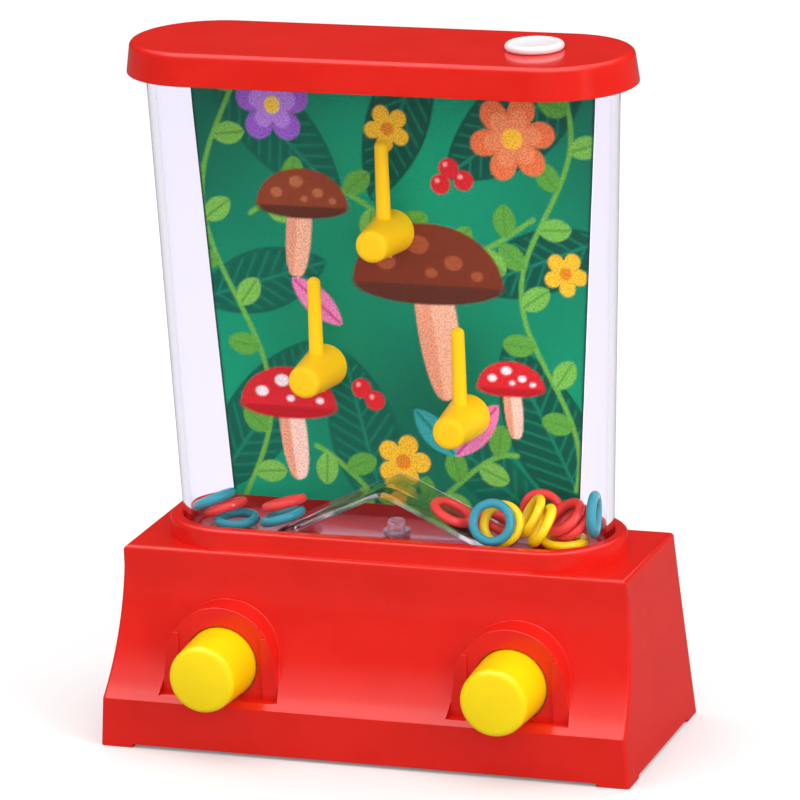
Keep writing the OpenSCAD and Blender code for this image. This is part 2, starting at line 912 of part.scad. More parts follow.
// Button: a hollow tapered cap with a retaining flange and a post that pushes the bellows
module button(s) {
  depth = flange_y + btn_flange_t - face_y;
  skirt = flange_y - face_y;
  face_r = btn_r - btn_taper;
  e = 1;
  color(yellow)
    placed()
      translate([s * btn_x, face_y, btn_z])
        about_y($fn = 120) {
          difference() {
            union() {
              polygon(concat(
                [[0, 0]],
                arc(face_r - e, e, e, -90, -3, 6),
                [[btn_r, btn_reach], [btn_r, skirt], [btn_r + btn_flange, skirt],
                  [btn_r + btn_flange, depth], [0, depth]]
              ));
            }
            translate([0, btn_wall + 0.3])
              square([face_r - btn_wall, depth]);
          }
          square([post_r, bellows_y - face_y - 0.05]);
        }
}

module button_left() {
  button(-1);
}

module button_right() {
  button(1);
}

// Height of what lies under a ring at x: the floor, or a flank of the deflector
function ground(x) = floor_z + max(0, (arch_half - abs(x)) * tan(arch_slope));

// Colour of a ring, by the first letter of the colour in its name
function ring_colour(name) = name[5] == "t" ? teal : name[5] == "y" ? yellow : red;

module ring(r) {
  x = r[1] * (tank_w / 2 - tank_wall - r[2]);
  color(ring_colour(r[0]))
    placed()
      translate([x, tank_y + r[3], ground(x) + r[4]])
        rotate([0, r[5], r[6]])
          rotate_extrude($fn = 72)
            translate([(ring_d - ring_t) / 2, 0])
              circle(ring_t / 2, $fn = 24);
}

base_shell();
base_plate();
base_screws();
tank();
cap();
fill_plug();
backdrop();
peg_top();
peg_left();
peg_right();
deflector();
jet_nozzle();
water_duct();
pump_left();
pump_right();
bellows_left();
bellows_right();
clamp_ring_left();
clamp_ring_right();
spring_left();
spring_right();
button_left();
button_right();
for (r = ring_rest)
  ring(r);
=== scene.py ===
# %% [markdown]
# # A handheld water game, piece by piece
#
# The toy fits in two hands. A red base carries a flat clear tank, with a printed card behind three yellow pegs. Two
# thumb buttons pump water up under a clear arch, and the jet lifts small rings that should land on the pegs.
#
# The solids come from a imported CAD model. Blender doesn't change them, so they serve as a frame: each piece below is
# either a CAD node with a better material, or a finer surface that stands for a node and rides on its body. The scene
# is in metres and the formulas are in millimetres. +Z is up, and the buttons point along -Y.

# %% Load the frame
import json
import math
from types import SimpleNamespace

import bmesh
import bpy
import numpy as np
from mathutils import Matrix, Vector


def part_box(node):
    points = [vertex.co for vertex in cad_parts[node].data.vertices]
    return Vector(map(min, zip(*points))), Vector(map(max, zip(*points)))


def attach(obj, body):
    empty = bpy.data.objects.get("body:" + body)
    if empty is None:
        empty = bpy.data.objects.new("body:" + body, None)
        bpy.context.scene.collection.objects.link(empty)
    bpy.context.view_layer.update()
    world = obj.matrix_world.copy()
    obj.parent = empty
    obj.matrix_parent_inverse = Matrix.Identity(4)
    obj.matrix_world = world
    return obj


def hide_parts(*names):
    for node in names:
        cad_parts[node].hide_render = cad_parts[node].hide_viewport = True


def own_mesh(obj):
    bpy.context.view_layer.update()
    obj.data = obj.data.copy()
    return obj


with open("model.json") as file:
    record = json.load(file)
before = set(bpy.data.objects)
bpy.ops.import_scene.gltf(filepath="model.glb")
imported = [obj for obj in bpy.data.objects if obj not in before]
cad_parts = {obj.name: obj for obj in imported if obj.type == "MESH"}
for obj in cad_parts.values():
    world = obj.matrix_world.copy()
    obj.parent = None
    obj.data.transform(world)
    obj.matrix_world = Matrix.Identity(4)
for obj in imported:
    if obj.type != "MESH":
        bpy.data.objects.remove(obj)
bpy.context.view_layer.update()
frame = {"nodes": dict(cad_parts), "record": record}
NODES = frame["nodes"]
BODY_OF = {node: body for body, names in frame["record"]["behaviour"]["bodies"].items() for node in names}
SLOT_OF = {part["node"]: part["material_slot"] for part in frame["record"]["subparts"]}

# %% [markdown]
# ## Units
#
# The frame's origin is where the toy stands, under the middle of its whole box, and the buttons reach out in front
# of the base. Most shapes are easier to write from the middle of the base, so its place is measured from the frame.

# %% A millimetre, and the middle of the base
MM = 0.001
Y0 = sum(corner[1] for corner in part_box("base_shell")) / 2 / MM
print("the middle of the base is at y =", round(Y0, 3), "mm")

# %% [markdown]
# ## Materials are small trees of nodes
#
# A tree can be drawn by hand in the shader editor, but a script has to give the same one every time. So one function
# adds a node, sets it and links it, and each material reads from top to bottom. Patterns read Object coordinates:
# the pieces keep their place in their mesh, so a millimetre of pattern is a millimetre of toy, with nothing to unwrap.


# %% Nodes, colours and pattern sizes
def adder(owner):
    """Empties the node tree of a material or a world. Gives a function that adds a node with its settings, and with
    its inputs set or linked by name, or by number as _0, _1 where several share a name. A node given for an input
    stands for its first output in use."""
    owner.use_nodes = True
    tree = owner.node_tree
    tree.nodes.clear()

    def add(kind, settings=(), **inputs):
        node = tree.nodes.new(kind)
        for key, value in dict(settings).items():
            setattr(node, key, value)
        for key, value in inputs.items():
            socket = node.inputs[int(key[1:])] if key[0] == "_" else node.inputs[key.replace("_", " ")]
            if isinstance(value, bpy.types.Node):
                value = next(out for out in value.outputs if out.enabled)
            if isinstance(value, bpy.types.NodeSocket):
                tree.links.new(value, socket)
            else:
                socket.default_value = value
        return node

    return add


def new_material(name):
    """An empty material and its adder."""
    material = bpy.data.materials.new(name)
    return material, adder(material)


def linear(hex_colour):
    """sRGB hex to the linear values a shader takes: v / 12.92 up to 0.04045, else ((v + 0.055) / 1.055) ^ 2.4."""
    values = [int(hex_colour[i:i + 2], 16) / 255 for i in (1, 3, 5)]
    return [v / 12.92 if v <= 0.04045 else ((v + 0.055) / 1.055) ** 2.4 for v in values] + [1.0]


def cells(size_mm):
    """Cells of a pattern in a metre: 1000 / size, to whole tens."""
    return 10 * round(100 / size_mm)


print("a pattern of 11 mm has", cells(11), "cells in a metre")

# %% [markdown]
# ## Moulded plastic
#
# Casing, cap, buttons and pegs are ABS from polished moulds, the rings are dyed polypropylene, and the plug is softer
# polyethylene. Three faint marks tell a moulding from a flat colour: clouds where the melt flowed, about 11 mm wide;
# an orange peel of about 1 mm from shrinking; and a polish that is worn in patches of about 4 mm. Painted textures
# could hold them, but noise from a formula has no seams and fits every piece. The real marks are faint, so here they
# only break up the highlights.

# %% A moulding's colour, polish and orange peel
CLOUD_MM, PEEL_MM, WORN_MM = 11, 1.11, 3.8
PEEL_STRENGTH, PEEL_DEPTH = 0.008, 0.4 * MM
CALM, BUSY = 0.3, 0.7   # noise hardly leaves this range, so it is stretched to the whole of what it drives


def moulded_plastic(name, colour, shade, rough, shine=0.5):
    """Colour goes to shade with the clouds, and roughness from its low to its high value with the wear. The orange
    peel tilts the normal. shine is the specular level: 0.5 is a full gloss."""
    material, add = new_material(name)
    where = add("ShaderNodeTexCoord").outputs["Object"]
    clouds = add("ShaderNodeTexNoise", Vector=where, Scale=cells(CLOUD_MM), Detail=3.0, Roughness=0.55)
    peel = add("ShaderNodeTexNoise", Vector=where, Scale=cells(PEEL_MM), Detail=2.0, Roughness=0.55)
    wear = add("ShaderNodeTexNoise", Vector=where, Scale=cells(WORN_MM), Detail=4.0, Roughness=0.55)
    share = add("ShaderNodeMapRange", Value=clouds, From_Min=CALM, From_Max=BUSY)
    tone = add("ShaderNodeMix", {"data_type": "RGBA"}, Factor=share, A=linear(colour), B=linear(shade))
    polish = add("ShaderNodeMapRange", Value=wear, From_Min=CALM, From_Max=BUSY, To_Min=rough[0], To_Max=rough[1])
    tilt = add("ShaderNodeBump", Height=peel, Strength=PEEL_STRENGTH, Distance=PEEL_DEPTH)
    skin = add("ShaderNodeBsdfPrincipled", Base_Color=tone, Roughness=polish, Normal=tilt, Specular_IOR_Level=shine)
    add("ShaderNodeOutputMaterial", Surface=skin)
    return material


print("clouds of", CLOUD_MM, "mm, orange peel of", PEEL_MM, "mm and worn patches of", WORN_MM, "mm")

# %% [markdown]
# ## The mouldings' finishes
#
# One material could be tinted for each piece, but separate ones keep each colour plain to read and to change. Each
# has two close colours and a range of roughness. A polished mould leaves ABS at 0.13 to 0.24, which mirrors a lamp
# softly; polyethylene is waxy, at 0.3 to 0.4; undyed polypropylene is duller, and rubber is nearly matt. The pegs
# show almost no highlight through the tank, so their specular level is low.

# %% ABS, polyethylene, polypropylene and rubber
red_abs = moulded_plastic("red_abs", "#E32319", "#DD1E14", (0.13, 0.18))   # full gloss
yellow_abs = moulded_plastic("yellow_abs", "#FFE00A", "#FCD806", (0.16, 0.24))   # softer gloss
peg_abs = moulded_plastic("peg_abs", "#FFD006", "#FCC904", (0.16, 0.24), shine=0.15)   # warmer, few highlights
white_polyethylene = moulded_plastic("white_polyethylene", "#E9E5E8", "#E2DEE1", (0.3, 0.4))   # waxy
natural_polypropylene = moulded_plastic("natural_polypropylene", "#E8EAEC", "#DFE2E5", (0.4, 0.55))   # milky
bellows_rubber = moulded_plastic("bellows_rubber", "#3A3D40", "#313437", (0.6, 0.75))   # nearly matt
RING_DYES = {"teal": ("#2E9AA0", "#278F97"), "yellow": ("#FDDC0A", "#F8CF05"), "red": ("#EA4039", "#E0332D")}
ring_plastics = {"ring_" + dye: moulded_plastic("ring_" + dye + "_polypropylene", *pair, (0.12, 0.2))
                 for dye, pair in RING_DYES.items()}   # small, smooth and glossy
print(len(bpy.data.materials), "mouldings")

# %% [markdown]
# ## Clear plastic
#
# Tank, arch and nozzle are clear polystyrene. A glass shader alone would leave the tank dark, because a path tracer
# stops each ray from a lamp at glass. So the material is glass to the eye, and a tinted film to a shadow ray and to a
# mirror image in another piece. Polystyrene has an index of 1.59. These walls are thin and hardly bend the view, so
# the index comes down to what the photograph shows. Seen along its length, a wall looks darker: the edge colour,
# which comes in as the view grazes the surface, is painted shade for the dark bands that refraction and reflection
# give along a wall's edge.

# %% Glass to the eye, a film to the lamps
SMEAR_MM = 8.3   # wiping leaves smears of about this width
SLANT = 0.62, 0.97   # how grazing the view is where the edge colour begins and where it is full


def clear_plastic(name, tint, index=1.45, rough=(0.02, 0.05), edge=None, frost=0.0):
    """Film where clamp(glossy ray x outside + shadow ray) is 1, glass elsewhere; outside means no clear wall passed
    yet. The tint turns to the edge colour by a smooth step of the slant. frost is the share that scatters."""
    material, add = new_material(name)
    where = add("ShaderNodeTexCoord").outputs["Object"]
    smear = add("ShaderNodeTexNoise", Vector=where, Scale=cells(SMEAR_MM), Detail=3.0, Roughness=0.55)
    polish = add("ShaderNodeMapRange", Value=smear, From_Min=CALM, From_Max=BUSY, To_Min=rough[0], To_Max=rough[1])
    body = linear(tint)
    if edge:
        # The edge colour is painted shade for the dark bands that refraction and reflection give along a wall's edge.
        slant = add("ShaderNodeLayerWeight", Blend=0.5)
        edge_shade = add("ShaderNodeMapRange", {"interpolation_type": "SMOOTHSTEP"}, Value=slant.outputs["Facing"],
                    From_Min=SLANT[0], From_Max=SLANT[1])
        body = add("ShaderNodeMix", {"data_type": "RGBA"}, Factor=edge_shade, A=linear(tint), B=linear(edge))
    glass = add("ShaderNodeBsdfPrincipled", Base_Color=body, Roughness=polish, Transmission_Weight=1 - frost, IOR=index)
    film = add("ShaderNodeBsdfTransparent", Color=linear(tint))
    path = add("ShaderNodeLightPath").outputs
    outside = add("ShaderNodeMath", {"operation": "LESS_THAN"}, _0=path["Transmission Depth"], _1=0.5)
    passing = add("ShaderNodeMath", {"operation": "MULTIPLY_ADD", "use_clamp": True}, _0=path["Is Glossy Ray"],
                  _1=outside, _2=path["Is Shadow Ray"])
    both = add("ShaderNodeMixShader", _0=passing, _1=glass, _2=film)
    add("ShaderNodeOutputMaterial", Surface=both)
    return material


# The tank's edge colour is painted shade at the grazing edges of its walls.
tank_styrene = clear_plastic("tank_styrene", "#F7F4FD", 1.18, (0.0, 0.02), edge="#E4DCF0")   # faint lilac walls
arch_styrene = clear_plastic("arch_styrene", "#F9FBF6")   # bends the view more
# Painted light: the faint pink tint stands in for the red of the casing seen through the clear nozzle.
nozzle_styrene = clear_plastic("nozzle_styrene", "#FFE9EC", 1.2, (0.08, 0.15), frost=0.12)   # dull and frosty
print("clear materials:", tank_styrene.name, arch_styrene.name, nozzle_styrene.name)

# %% [markdown]
# ## Steel
#
# The springs are drawn wire and the screws are rolled and zinc plated. Both ways leave fine scratches. Real ones are
# some hundredths of a millimetre wide and would not show, so they are drawn as grain of 0.67 mm. An anisotropic
# shader could stretch the highlight along them, but on pieces this small a roughness that varies does as well.

# %% Drawn and rolled steel
SCRATCH_MM = 0.667


def steel(name, colour):
    """Metallic 1 in one colour, with a roughness of 0.25 to 0.45 that follows the scratches."""
    material, add = new_material(name)
    where = add("ShaderNodeTexCoord").outputs["Object"]
    scratch = add("ShaderNodeTexNoise", Vector=where, Scale=cells(SCRATCH_MM), Detail=4.0, Roughness=0.55)
    polish = add("ShaderNodeMapRange", Value=scratch, From_Min=CALM, From_Max=BUSY, To_Min=0.25, To_Max=0.45)
    skin = add("ShaderNodeBsdfPrincipled", Base_Color=linear(colour), Roughness=polish, Metallic=1.0)
    add("ShaderNodeOutputMaterial", Surface=skin)
    return material


spring_steel = steel("drawn_spring_steel", "#B9BDC2")
screw_steel = steel("zinc_plated_steel", "#C8CCD0")
print("steels:", spring_steel.name, screw_steel.name)

# %% [markdown]
# ## Finish the CAD nodes
#
# Hidden and plain pieces, such as the cover, the pumps and the pegs, have the right shape already. They stay as CAD
# nodes and only get a material. The record names a slot for each node, so a table from slot to material does nearly
# all; the pegs and the nozzle share a slot with larger pieces but look different, so they are named.

# %% A material on every CAD node
FINISH_OF_SLOT = {"red_plastic": red_abs, "yellow_plastic": yellow_abs, "white_plastic": white_polyethylene,
                  "clear_plastic": tank_styrene, "printed_card": white_polyethylene,
                  "natural_plastic": natural_polypropylene, "bellows_rubber": bellows_rubber,
                  "spring_steel": spring_steel, "screw_steel": screw_steel, **ring_plastics}
PEGS = ("peg_top", "peg_left", "peg_right")
FINISH_OF_NODE = {"jet_nozzle": nozzle_styrene, **{peg: peg_abs for peg in PEGS}}
for node, cad in NODES.items():
    cad.data.materials.clear()
    cad.data.materials.append(FINISH_OF_NODE.get(node, FINISH_OF_SLOT[SLOT_OF[node]]))
print(len(NODES), "nodes finished with", len(bpy.data.materials), "materials")

# %% [markdown]
# ## From a formula to a mesh
#
# A smooth moulding could be modelled with a few faces and a Subdivision Surface modifier, but that only comes near
# the size that was meant. Here a surface is a grid of points from a formula in two parameters. numpy works out the
# whole grid at once, and neighbouring points make quads. The sign of the enclosed volume tells whether the faces
# point outwards, and if not they are turned.


# %% A piece, and a piece from a grid
def piece(name, mesh, node, material, sharp=35):
    """Adds the mesh as a piece that stands for a CAD node: it rides on that node's body and takes the material given.
    Edges that turn by more than sharp degrees stay sharp."""
    mesh.materials.append(material)
    mesh.shade_smooth()
    mesh.set_sharp_from_angle(angle=math.radians(sharp))
    made = bpy.data.objects.new(name, mesh)
    bpy.context.scene.collection.objects.link(made)
    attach(made, BODY_OF[node])
    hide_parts(node)
    return made


def grid_mesh(name, points, node, material, close_u=True, close_v=False, caps=()):
    """points is (rows, columns, 3) in mm. Quads join neighbours, round the columns where close_u is set and round
    the rows where close_v is. caps lists the rows that a flat polygon closes, 0 and -1. Six times the volume is the
    sum of (p0 x p1) . p2 over the triangles."""
    rows, cols = points.shape[:2]
    index = np.arange(rows * cols).reshape(rows, cols)
    if close_u:
        index = np.hstack([index, index[:, :1]])
    if close_v:
        index = np.vstack([index, index[:1]])
    corners = index[:-1, :-1], index[:-1, 1:], index[1:, 1:], index[1:, :-1]
    faces = np.stack(corners, -1).reshape(-1, 4).tolist()
    if 0 in caps:
        faces.append(np.arange(cols)[::-1].tolist())
    if -1 in caps:
        faces.append((np.arange(cols) + (rows - 1) * cols).tolist())
    p = points.reshape(-1, 3) * MM
    q = p[np.array([f for f in faces if len(f) == 4])] - p.mean(0)
    volume = (np.cross(q[:, 0], q[:, 1]) * q[:, 2]).sum() + (np.cross(q[:, 0], q[:, 2]) * q[:, 3]).sum()
    if volume < 0:
        faces = [f[::-1] for f in faces]
    mesh = bpy.data.meshes.new(name)
    mesh.from_pydata(p.tolist(), [], faces)
    mesh.validate()
    print(name, "has", len(mesh.polygons), "faces")
    return piece(name, mesh, node, material)


# %% [markdown]
# ## Rings
#
# Sixteen loose rings of dyed plastic lie in a heap at odd tilts. A torus could be added and turned by hand for each.
# The CAD rings already have the right places, so the middle and the axis are read from their points, and only the
# smooth surface is new: the CAD torus is faceted, and a ring's highlight is a thin line that shows every facet.

# %% A torus at each ring node
WIRE_R = 1.0   # the ring's wire is 2 mm thick
TURNS, SIDES = 96, 32   # points along and round the wire


def torus_at(node):
    """p(u, v) = c + (R + r cos v)(cos u a + sin u b) + r sin v n. c is the middle of the node's box, a and b are the
    two directions in which its points spread most, and n is across them. R + r is the widest spread from c."""
    co = np.empty(len(NODES[node].data.vertices) * 3)
    NODES[node].data.vertices.foreach_get("co", co)
    co = co.reshape(-1, 3) / MM
    c = (co.min(0) + co.max(0)) / 2
    a, b = np.linalg.svd(co - c, full_matrices=False)[2][:2]
    n = np.cross(a, b)
    widest = np.sqrt((((co - c) - np.outer((co - c) @ n, n)) ** 2).sum(1)).max()
    u = np.linspace(0, 2 * np.pi, TURNS, endpoint=False)[:, None, None]
    v = np.linspace(0, 2 * np.pi, SIDES, endpoint=False)[None, :, None]
    return (c + (widest - WIRE_R + WIRE_R * np.cos(v)) * (np.cos(u) * a + np.sin(u) * b)
            + WIRE_R * np.sin(v) * n)


for node in sorted(n for n in NODES if n.startswith("ring_")):
    grid_mesh(node + "_moulded", torus_at(node), node, ring_plastics[SLOT_OF[node]], close_v=True)

# %% [markdown]
# ## The hollow front and its shading
#
# The casing's front is hollow: part of a cylinder that runs from side to side. The CAD mesh has it as long flat
# strips, and where they meet tiny faces the smooth shading gets smears. Finer facets would need another CAD mesh.
# Better normals cost nothing, and Blender keeps one for each corner of each face. A loop over the corners would be
# slow, so the mesh is read as whole arrays.


# %% A mesh as arrays
def corners_of(mesh):
    """The corner normals, each corner's vertex and face, the face normals and the corners in each face."""
    vertex, counts = np.empty(len(mesh.loops), int), np.empty(len(mesh.polygons), int)
    normals, flat = np.empty(len(mesh.loops) * 3), np.empty(len(mesh.polygons) * 3)
    mesh.loops.foreach_get("vertex_index", vertex)
    mesh.polygons.foreach_get("loop_total", counts)
    mesh.corner_normals.foreach_get("vector", normals)
    mesh.polygons.foreach_get("normal", flat)
    return normals.reshape(-1, 3), vertex, np.repeat(np.arange(len(counts)), counts), flat.reshape(-1, 3), counts


print("the casing's CAD mesh has", len(corners_of(NODES["base_shell"].data)[0]), "face corners")

# %% [markdown]
# A Weighted Normal modifier lets large faces lead. It leaves two faults: a few corners beside tiny faces still point
# far off, and the strips of the cylinder still show. The first are given their face's own normal. For the second the
# formula is known, so they are worked out.

# %% Normals that stay smooth
FRONT_AXIS, FRONT_R = (-52.2, 37.5), 37.6   # the cylinder's axis (y, z), with y from the middle of the base
AREA_WEIGHT = 80   # how strongly large faces lead, from 1 to 100
STRAY, FACING, SAME = (math.cos(math.radians(angle)) for angle in (35, 9, 2))


def finished_normals(made):
    """Weighs the normals by face area. A corner more than 35 degrees off its face takes the face's normal. On the
    hollow front n = (axis - p) / radius in the YZ plane: for faces whose corners all fit that within 9 degrees, and
    for corners of their neighbours that share a normal with them within 2 degrees."""
    weigh = made.modifiers.new("normals", "WEIGHTED_NORMAL")
    weigh.keep_sharp = True
    weigh.weight = AREA_WEIGHT
    mesh = bpy.data.meshes.new_from_object(made.evaluated_get(bpy.context.evaluated_depsgraph_get()))
    made.modifiers.clear()
    old, made.data = made.data, mesh
    bpy.data.meshes.remove(old)
    co = np.empty(len(mesh.vertices) * 3)
    mesh.vertices.foreach_get("co", co)
    to_axis = (np.array([FRONT_AXIS[0] + Y0, FRONT_AXIS[1]]) - co.reshape(-1, 3)[:, 1:] / MM) / FRONT_R
    exact = np.column_stack([np.zeros(len(to_axis)), to_axis])
    on_curve = np.abs(np.linalg.norm(exact, axis=1) - 1) < 0.03 / FRONT_R
    normals, vertex, face, flat, counts = corners_of(mesh)
    stray = (normals * flat[face]).sum(1) < STRAY
    normals[stray] = flat[face[stray]]
    fits = on_curve[vertex] & ((flat[face] * exact[vertex]).sum(1) > FACING)
    whole = np.bincount(face, fits) == counts
    on_face = whole[face]
    mark = np.zeros((len(exact), 3))
    mark[vertex[on_face]] = normals[on_face]
    shared = (normals * mark[vertex]).sum(1) > SAME
    normals[shared] = exact[vertex[shared]]
    mesh.normals_split_custom_set(normals / np.linalg.norm(normals, axis=1, keepdims=True))
    print(made.name, "has", int(whole.sum()), "faces on the hollow front;", int(stray.sum()), "normals set right")


# %% [markdown]
# ## Rounded edges
#
# A mould has no knife edges, and a small radius is what catches the light along an edge. The casing has many plain
# faces, so drawing it again would gain nothing: a copy of its CAD mesh keeps the true shape, and a bevel rounds
# chosen edges. A Bevel modifier would take them all by one angle. Here each radius comes with a test on where an
# edge is and how it turns, so the list below reads like the notes on a drawing.

# %% A copy with rounded edges
SHORTEST = 0.3   # mm; shorter edges are parts of a curve


def rounded_copy(node, material, rounds):
    """A copy of a CAD node with its doubles merged, its flat areas whole and some edges rounded. rounds lists
    (radius in mm, test). A test gets the edges' middles as e.x, a distance from the middle plane, e.y, from the
    middle of the base, and e.z, in mm; e.turn, the angle between the faces in degrees, positive where convex; and
    e.level, the share of an edge's length that runs along X."""
    bm = bmesh.new()
    bm.from_mesh(NODES[node].data)
    bmesh.ops.remove_doubles(bm, verts=bm.verts, dist=1e-6)
    bmesh.ops.dissolve_limit(bm, angle_limit=math.radians(0.3), verts=bm.verts, edges=bm.edges)
    for radius, test in rounds:
        edges = list(bm.edges)
        ends = np.array([[v.co for v in e.verts] for e in edges]) / MM
        run = ends[:, 1] - ends[:, 0]
        length = np.maximum(np.linalg.norm(run, axis=1), 1e-6)
        x, y, z = ends.mean(1).T
        turn = np.degrees([e.calc_face_angle_signed(0.0) for e in edges])
        e = SimpleNamespace(x=np.abs(x), y=y - Y0, z=z, turn=turn, level=np.abs(run[:, 0]) / length)
        chosen = test(e) & (length > SHORTEST)
        bmesh.ops.bevel(bm, geom=[edge for edge, c in zip(edges, chosen) if c], offset=radius * MM,
                        offset_type="OFFSET", segments=4, profile=0.5, affect="EDGES", clamp_overlap=False,
                        loop_slide=True)
        print(node, int(chosen.sum()), "edges rounded to", radius, "mm")
    mesh = bpy.data.meshes.new(node + "_moulded")
    bm.to_mesh(mesh)
    bm.free()
    finished_normals(piece(node + "_moulded", mesh, node, material, sharp=32))


# %% [markdown]
# ## Casing and cap
#
# These are the two large red mouldings. The casing's upright corners are the softest edges; deck and collar are
# crisper, and the two pads round the buttons have only the hint of a radius that a sharp mould leaves. The cap is
# rounded all over by one radius.

# %% Round the casing and the cap
SIDE_X, FOOT_Z, DECK_Z, STEP_Z = 54, 1.2, 43.2, 10.9   # side walls outside, feet below, deck above, lower step
PAD_X, PAD_FACE_Y, PAD_RIM_Y = (14, 51.5), -22, -21.4   # a button's pad: its run, and its two flat faces
CONVEX, HOLLOW = 35, -60   # degrees; a corner turns by more than this


def by_pad(e):
    """Whether x is within the run of a pad."""
    return (e.x > PAD_X[0]) & (e.x < PAD_X[1])


def on_pad(e, at):
    """Whether an edge lies on the face at y = at of a pad."""
    return by_pad(e) & (np.abs(e.y - at) < 0.02)


def on_front(e):
    """Whether an edge's middle is within 0.06 mm of the radius from the front's axis."""
    return np.abs(np.hypot(e.y - FRONT_AXIS[0], e.z - FRONT_AXIS[1]) - FRONT_R) < 0.06


CASING_ROUNDS = [
    # the upright corners
    (0.8, lambda e: (e.x > SIDE_X) & ((e.y < -12.4) | (e.y > 16.6)) & (e.z > 0.05) & (e.turn > 50) & (e.level < 0.3)),
    # the deck and the collar, then the feet
    (0.35, lambda e: (e.z > DECK_Z) & (e.turn > CONVEX)),
    (0.2, lambda e: (e.z < FOOT_Z) & (e.turn > CONVEX)),
    # the pads, and the corner where a pad meets the hollow front
    (0.12, lambda e: on_pad(e, PAD_FACE_Y) & (e.turn > CONVEX)),
    (0.3, lambda e: on_pad(e, PAD_RIM_Y) & (e.turn > CONVEX)),
    (0.2, lambda e: on_front(e) & by_pad(e) & (e.turn < HOLLOW) & (e.y > -21) & (e.y < -12)),
    # the line where the hollow front meets the lower step
    (0.15, lambda e: (np.abs(e.z - STEP_Z) < 0.4) & (e.y < -23.4) & (np.abs(e.turn) > 20)),
]
rounded_copy("base_shell", red_abs, CASING_ROUNDS)
rounded_copy("cap", red_abs, [(0.3, lambda e: e.turn > 28)])

# %% [markdown]
# ## Pegs
#
# Each peg is a tapered boss with an upright pin that catches the rings. It could be turned like the buttons below,
# but its CAD facets are fine enough for so small a piece, so smooth shading is all that it needs.

# %% Smooth pegs
for peg in PEGS:
    NODES[peg].data.shade_smooth()
print(len(PEGS), "pegs smoothed")

# %% [markdown]
# ## The clear tank
#
# The tank is a flat jar, round at both sides, that widens by 8.7 % from foot to rim so that it leaves its mould. A
# hollow clear piece has to be one closed surface, outside and inside, or light bends wrongly in it. Solidify could
# thicken an outside wall, but the floor, the rim and the inner corner have radii of their own. So the surface is
# lofted through stadium outlines: out from the floor's underside, up, over the rim, and down inside.

# %% Loft the tank
TANK_Y = 3 + Y0   # middle of the tank


def stadium(half_run, radius, count=256):
    """Half circles of the radius about (half_run, 0) and (-half_run, 0), joined by straight runs."""
    t = np.linspace(-np.pi / 2, 1.5 * np.pi, count, endpoint=False)
    side = np.where(t < np.pi / 2, 1.0, -1.0)
    return np.stack([side * half_run + radius * np.cos(t), radius * np.sin(t)], -1)


def tank_rows(run=35.1, r=13.3, wall=1.6, foot=42.4, tall=107.6, grow=0.0868):
    """At height h run and radius are 1 + grow h / tall times their size at the foot, less the inset. The underside
    stays 0.06 mm above the red deck, so that a ray through the floor meets the deck and not a shared face."""
    heights = np.linspace(0.5, tall - 0.4, 12)
    outside = [(0.06, 0.5), (0.2, 0.15)] + [(h, 0.0) for h in heights] + [(tall - 0.1, 0.12), (tall, 0.4)]
    inside = [(tall, wall - 0.4), (tall - 0.1, wall - 0.12)] + [(h, wall) for h in heights[::-1][:-1]]
    inside += [(wall + 1.2, wall), (wall + 0.7, wall + 0.1), (wall + 0.3, wall + 0.4), (wall, wall + 1.2)]
    rows = []
    for h, inset in outside + inside:
        f = 1 + grow * h / tall
        xy = stadium(run * f, (r - inset) * f if inset == wall else r * f - inset)
        rows.append(np.column_stack([xy, np.full(len(xy), foot + h)]) + (0, TANK_Y, 0))
    return np.array(rows)


grid_mesh("tank_clear", tank_rows(), "tank", tank_styrene, caps=(0, -1))

# %% [markdown]
# ## The clear arch
#
# The deflector is a strip of clear plastic, like a roof over the jet. It sends the water to both sides, and rings
# slide off it. A bent plate with Solidify would come close, but its cut ends would be sharp, and a sharp edge looks
# black in clear plastic. So half an outline, a round crest and a straight slope, is mirrored, doubled by the
# thickness and lofted from front to back, a little smaller at both ends.


# %% Loft the arch
def gable(half, slope, crest, count=17, steps=14):
    """Half a gable from the crest's middle to the foot at (half, 0): an arc of radius crest about
    (0, half tan slope - crest / cos slope), then a straight run."""
    a = math.radians(slope)
    t = np.linspace(np.pi / 2, np.pi / 2 - a, count)
    top = np.stack([crest * np.cos(t), half * math.tan(a) - crest / math.cos(a) + crest * np.sin(t)], -1)
    run = top[-1] + (np.array([[half, 0.0]]) - top[-1]) * np.linspace(0, 1, steps)[1:, None]
    return np.vstack([top, run])


def arch_rows(half=26.0, slope=25.0, crest=5.0, thick=1.2, front=-6.5, back=8.55, floor=44.05, soft=0.25):
    """The closed outline at each station along Y. Drawing it in by e moves a foot by e / sin slope."""
    per_mm = 1 / math.sin(math.radians(slope))
    stations = [(front, soft), (front + 0.08, 0.1), (front + soft, 0),
                (back - soft, 0), (back - 0.08, 0.1), (back, soft)]
    rows = []
    for y, e in stations:
        out = gable(half - e * per_mm, slope, crest - e)
        inn = gable(half - (thick - e) * per_mm, slope, crest - thick + e)
        loop = np.vstack([out[::-1] * (-1, 1), out[1:], inn[::-1], inn[1:] * (-1, 1)])
        rows.append(np.column_stack([loop[:, 0], np.full(len(loop), y + Y0), loop[:, 1] + floor]))
    return np.array(rows)


grid_mesh("deflector_clear", arch_rows(), "deflector", arch_styrene, caps=(0, -1))

# %% [markdown]
# ## Turned shapes
#
# Buttons, plug and bellows are round about an axis. A Screw modifier could spin a drawn profile; worked out as a
# grid, the same turn needs no modifier, and its poles are closed by tiny polygons. A profile lists (radius, distance
# along the axis) in mm, and arcs fill in its rounded corners.


# %% Lathe
def arc(cx, cy, r, start, end, count=9):
    """(cx + r cos a, cy + r sin a), with a from start to end in degrees."""
    return [(cx + r * math.cos(a), cy + r * math.sin(a)) for a in np.radians(np.linspace(start, end, count))]


